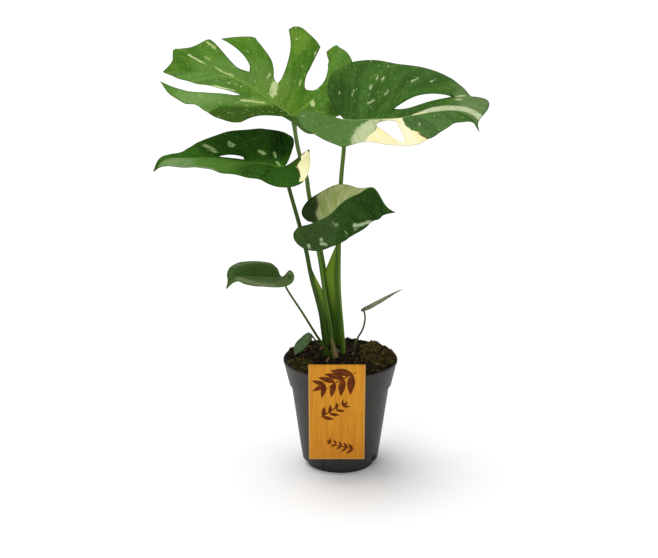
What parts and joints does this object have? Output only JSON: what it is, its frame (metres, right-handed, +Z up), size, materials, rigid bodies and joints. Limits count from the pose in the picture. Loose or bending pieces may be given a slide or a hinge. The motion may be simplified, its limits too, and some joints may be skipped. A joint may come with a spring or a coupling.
{
  "type": "potted variegated monstera",
  "caption": "Young variegated monstera with split leaves on long stalks, in a tapered nursery pot with soil and a card tag hooked over the rim.",
  "frame": {"origin": "middle of the pot's flat underside, on the surface it stands on", "axes": "+Z up, +X to the right and -Y towards the viewer of the card tag"},
  "size_m": [0.3326, 0.1288, 0.4546],
  "materials": {
    "pot": "matt with faint moulding marks",
    "soil": "loose bark and peat, rough",
    "stem": "smooth living stalk, light streaks",
    "dry": "dry and fibrous",
    "leaf": "waxy leaf, green with cream variegation",
    "tag": "coated card with a plain leaf print"
  },
  "bodies": {
    "root": {"pot": "pot", "soil": "soil", "crown": "stem", "dry_sheath": "dry", "tag": "tag", "blade_upper_left": "leaf", "stalk_upper_left": "stem", "blade_upper_right": "leaf", "stalk_upper_right": "stem", "blade_middle": "leaf", "stalk_middle": "stem", "blade_centre": "leaf", "stalk_centre": "stem", "blade_low_left": "leaf", "stalk_low_left": "stem", "blade_shoot": "leaf", "stalk_shoot": "stem", "blade_soil_side": "leaf", "stalk_soil_side": "stem"}
  },
  "joints": []
}
